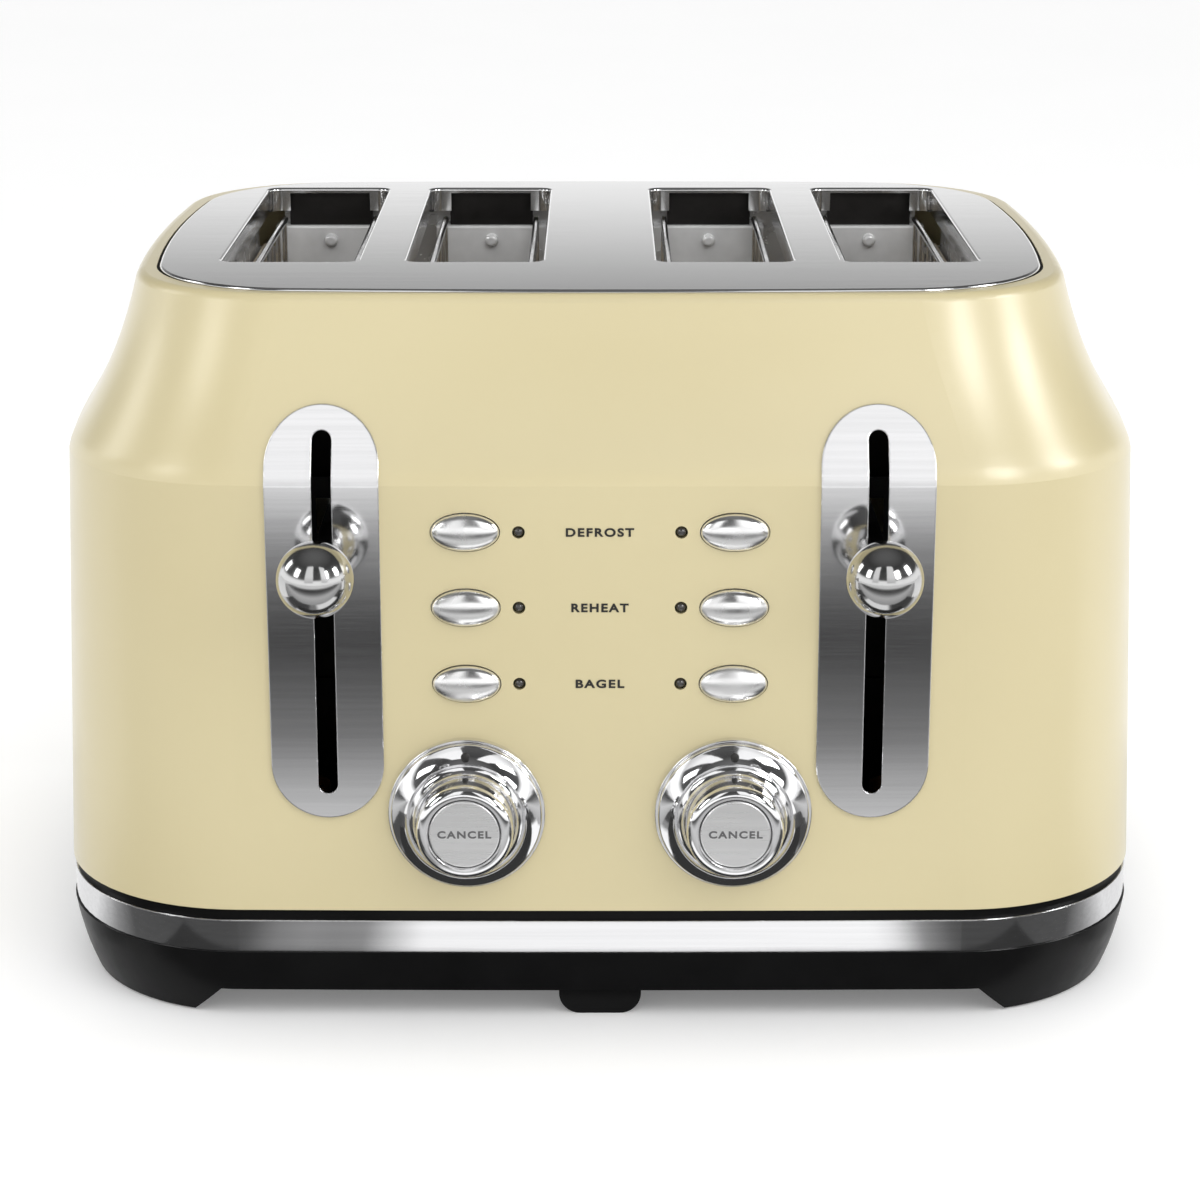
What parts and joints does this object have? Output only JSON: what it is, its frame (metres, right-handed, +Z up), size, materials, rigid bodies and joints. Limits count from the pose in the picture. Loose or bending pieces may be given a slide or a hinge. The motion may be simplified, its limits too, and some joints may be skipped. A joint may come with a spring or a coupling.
{
  "type": "pop up toaster",
  "caption": "Retro long-bodied toaster with front-to-back bread slots, two sprung lever carriages, dials, push buttons and pull-out crumb trays.",
  "frame": {"origin": "on the worktop under the middle of the housing in plan", "axes": "+Z up, -Y towards the front with the levers and dials, +X to the right seen from the front"},
  "size_m": [0.341, 0.2991, 0.22],
  "materials": {
    "cream_paint": "satin cream enamel",
    "brushed_top": "brushed along the slots",
    "black_rubber": "matt",
    "black_moulding": "satin moulded plastic",
    "polished_trim": "polished stainless steel",
    "sheet_steel": "aluminised sheet",
    "bright_reflector": "bright",
    "dark_panel": "heat-darkened sheet",
    "dark_screw": "black zinc",
    "rod_steel": "ground steel",
    "coil_winding": "enamelled copper winding",
    "led_lens": "smoked lens, unlit",
    "mica_board": "mica sheet",
    "heater_ribbon": "oxidised resistance ribbon",
    "circuit_board": "solder mask",
    "carriage_steel": "zinc-plated sheet",
    "spring_wire": "spring wire",
    "chrome": "polished chrome",
    "satin_chrome": "satin chrome",
    "guide_wire": "nickel-plated wire"
  },
  "bodies": {
    "housing": {"body_shell": "cream_paint", "top_plate": "brushed_top", "top_gasket": "black_rubber", "base_moulding": "black_moulding", "base_trim_band": "polished_trim", "deck_plate": "sheet_steel", "base_screws": "dark_screw", "foot_pads": "black_rubber", "centre_feet": "black_moulding", "cord_gland": "black_rubber", "end_reflectors": "bright_reflector", "slot_backs": "dark_panel", "guide_rods": "rod_steel", "electromagnets": "coil_winding", "indicator_leds": "led_lens", "dial_seats": "black_moulding", "lever_plate_left": "polished_trim", "chamber_left": "sheet_steel", "heater_boards_left": "mica_board", "heater_wires_left": "heater_ribbon", "control_board_left": "circuit_board", "carriage_spring_left": "spring_wire", "lever_plate_right": "polished_trim", "chamber_right": "sheet_steel", "heater_boards_right": "mica_board", "heater_wires_right": "heater_ribbon", "control_board_right": "circuit_board", "carriage_spring_right": "spring_wire"},
    "carriage_left": {"carriage_bracket_left": "carriage_steel", "lever_arm_left": "carriage_steel", "lever_ball_left": "chrome", "latch_keeper_left": "carriage_steel", "bread_rack_1": "carriage_steel", "bread_rack_2": "carriage_steel"},
    "carriage_right": {"carriage_bracket_right": "carriage_steel", "lever_arm_right": "carriage_steel", "lever_ball_right": "chrome", "latch_keeper_right": "carriage_steel", "bread_rack_3": "carriage_steel", "bread_rack_4": "carriage_steel"},
    "bread_guide_1_left": {"bread_guide_1_left": "guide_wire"},
    "bread_guide_1_right": {"bread_guide_1_right": "guide_wire"},
    "bread_guide_2_left": {"bread_guide_2_left": "guide_wire"},
    "bread_guide_2_right": {"bread_guide_2_right": "guide_wire"},
    "bread_guide_3_left": {"bread_guide_3_left": "guide_wire"},
    "bread_guide_3_right": {"bread_guide_3_right": "guide_wire"},
    "bread_guide_4_left": {"bread_guide_4_left": "guide_wire"},
    "bread_guide_4_right": {"bread_guide_4_right": "guide_wire"},
    "dial_left": {"dial_left": "chrome"},
    "cancel_button_left": {"cancel_button_left": "satin_chrome"},
    "defrost_button_left": {"defrost_button_left": "chrome"},
    "reheat_button_left": {"reheat_button_left": "chrome"},
    "bagel_button_left": {"bagel_button_left": "chrome"},
    "crumb_tray_left": {"crumb_tray_left": "sheet_steel"},
    "dial_right": {"dial_right": "chrome"},
    "cancel_button_right": {"cancel_button_right": "satin_chrome"},
    "defrost_button_right": {"defrost_button_right": "chrome"},
    "reheat_button_right": {"reheat_button_right": "chrome"},
    "bagel_button_right": {"bagel_button_right": "chrome"},
    "crumb_tray_right": {"crumb_tray_right": "sheet_steel"}
  },
  "joints": [
    {"name": "carriage_left_slide", "type": "slide", "parent": "housing", "child": "carriage_left", "axis": [0, 0, 1], "range_m": [-0.062, 0.02], "stiffness_N_per_m": 220, "springref_m": 0.00758, "deforming": ["carriage_spring_left"]},
    {"name": "carriage_right_slide", "type": "slide", "parent": "housing", "child": "carriage_right", "axis": [0, 0, 1], "range_m": [-0.062, 0.02], "stiffness_N_per_m": 220, "springref_m": 0.00758, "deforming": ["carriage_spring_right"]},
    {"name": "bread_guide_1_left_slide", "type": "slide", "parent": "housing", "child": "bread_guide_1_left", "axis": [1, 0, 0], "range_m": [-0.0027, 0.0081]},
    {"name": "bread_guide_1_right_slide", "type": "slide", "parent": "housing", "child": "bread_guide_1_right", "axis": [1, 0, 0], "range_m": [-0.0081, 0.0027]},
    {"name": "bread_guide_2_left_slide", "type": "slide", "parent": "housing", "child": "bread_guide_2_left", "axis": [1, 0, 0], "range_m": [-0.0027, 0.0081]},
    {"name": "bread_guide_2_right_slide", "type": "slide", "parent": "housing", "child": "bread_guide_2_right", "axis": [1, 0, 0], "range_m": [-0.0081, 0.0027]},
    {"name": "bread_guide_3_left_slide", "type": "slide", "parent": "housing", "child": "bread_guide_3_left", "axis": [1, 0, 0], "range_m": [-0.0027, 0.0081]},
    {"name": "bread_guide_3_right_slide", "type": "slide", "parent": "housing", "child": "bread_guide_3_right", "axis": [1, 0, 0], "range_m": [-0.0081, 0.0027]},
    {"name": "bread_guide_4_left_slide", "type": "slide", "parent": "housing", "child": "bread_guide_4_left", "axis": [1, 0, 0], "range_m": [-0.0027, 0.0081]},
    {"name": "bread_guide_4_right_slide", "type": "slide", "parent": "housing", "child": "bread_guide_4_right", "axis": [1, 0, 0], "range_m": [-0.0081, 0.0027]},
    {"name": "dial_left_turn", "type": "hinge", "parent": "housing", "child": "dial_left", "pos_m": [-0.0395, -0.131, 0.0682], "axis": [0, 1, 0], "range_deg": [-135, 135]},
    {"name": "cancel_left_press", "type": "slide", "parent": "housing", "child": "cancel_button_left", "axis": [0, 1, 0], "range_m": [0, 0.002], "stiffness_N_per_m": 400},
    {"name": "defrost_left_press", "type": "slide", "parent": "housing", "child": "defrost_button_left", "axis": [0, 1, 0], "range_m": [0, 0.0018], "stiffness_N_per_m": 400},
    {"name": "reheat_left_press", "type": "slide", "parent": "housing", "child": "reheat_button_left", "axis": [0, 1, 0], "range_m": [0, 0.0018], "stiffness_N_per_m": 400},
    {"name": "bagel_left_press", "type": "slide", "parent": "housing", "child": "bagel_button_left", "axis": [0, 1, 0], "range_m": [0, 0.0018], "stiffness_N_per_m": 400},
    {"name": "crumb_tray_left_slide", "type": "slide", "parent": "housing", "child": "crumb_tray_left", "axis": [0, 1, 0], "range_m": [0, 0.18]},
    {"name": "dial_right_turn", "type": "hinge", "parent": "housing", "child": "dial_right", "pos_m": [0.0395, -0.131, 0.0682], "axis": [0, 1, 0], "range_deg": [-135, 135]},
    {"name": "cancel_right_press", "type": "slide", "parent": "housing", "child": "cancel_button_right", "axis": [0, 1, 0], "range_m": [0, 0.002], "stiffness_N_per_m": 400},
    {"name": "defrost_right_press", "type": "slide", "parent": "housing", "child": "defrost_button_right", "axis": [0, 1, 0], "range_m": [0, 0.0018], "stiffness_N_per_m": 400},
    {"name": "reheat_right_press", "type": "slide", "parent": "housing", "child": "reheat_button_right", "axis": [0, 1, 0], "range_m": [0, 0.0018], "stiffness_N_per_m": 400},
    {"name": "bagel_right_press", "type": "slide", "parent": "housing", "child": "bagel_button_right", "axis": [0, 1, 0], "range_m": [0, 0.0018], "stiffness_N_per_m": 400},
    {"name": "crumb_tray_right_slide", "type": "slide", "parent": "housing", "child": "crumb_tray_right", "axis": [0, 1, 0], "range_m": [0, 0.18]}
  ],
  "couplings": [
    {"joint": "bread_guide_1_left_slide", "follows": "carriage_left_slide", "ratio": -0.12903},
    {"joint": "bread_guide_1_right_slide", "follows": "carriage_left_slide", "ratio": 0.12903},
    {"joint": "bread_guide_2_left_slide", "follows": "carriage_left_slide", "ratio": -0.12903},
    {"joint": "bread_guide_2_right_slide", "follows": "carriage_left_slide", "ratio": 0.12903},
    {"joint": "bread_guide_3_left_slide", "follows": "carriage_right_slide", "ratio": -0.12903},
    {"joint": "bread_guide_3_right_slide", "follows": "carriage_right_slide", "ratio": 0.12903},
    {"joint": "bread_guide_4_left_slide", "follows": "carriage_right_slide", "ratio": -0.12903},
    {"joint": "bread_guide_4_right_slide", "follows": "carriage_right_slide", "ratio": 0.12903}
  ]
}
